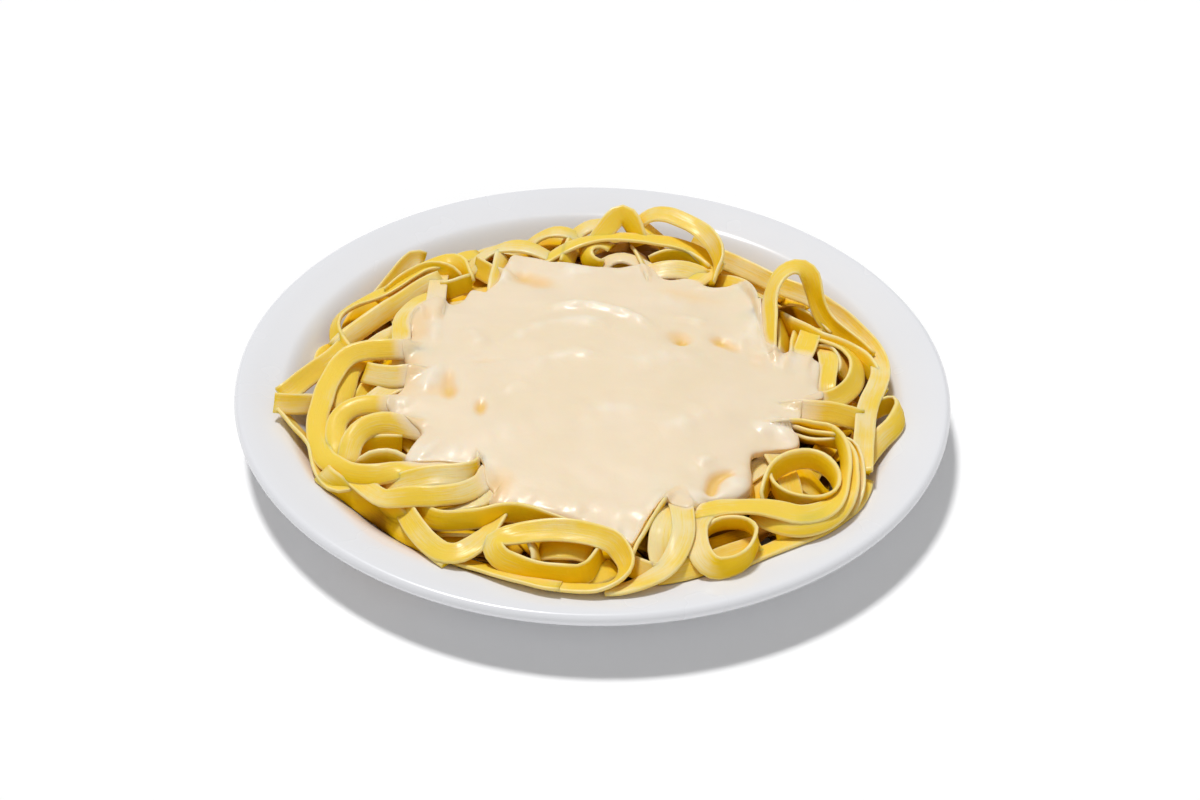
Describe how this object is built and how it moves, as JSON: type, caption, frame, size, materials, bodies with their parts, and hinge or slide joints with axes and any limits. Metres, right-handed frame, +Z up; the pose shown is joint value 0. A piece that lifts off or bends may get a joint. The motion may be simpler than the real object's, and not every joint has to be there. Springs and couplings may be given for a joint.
{
  "type": "plate of fettuccine alfredo",
  "caption": "Plate of fettuccine alfredo: loose flat egg noodles heaped on a round white rim plate, with a pool of thick cream sauce over the middle.",
  "frame": {"origin": "on the table under the middle of the plate", "axes": "+Z up; -Y towards the diner, where the tongue of sauce points; +X to the diner's right"},
  "size_m": [0.267, 0.267, 0.0481],
  "materials": {
    "plate_glaze": "plain white glaze, glossy",
    "egg_noodles": "cooked egg pasta, moist satin",
    "cream_sauce": "thick cream sauce, moist and glossy"
  },
  "bodies": {
    "root": {"plate": "plate_glaze", "fettuccine": "egg_noodles", "alfredo_sauce": "cream_sauce"}
  },
  "joints": []
}
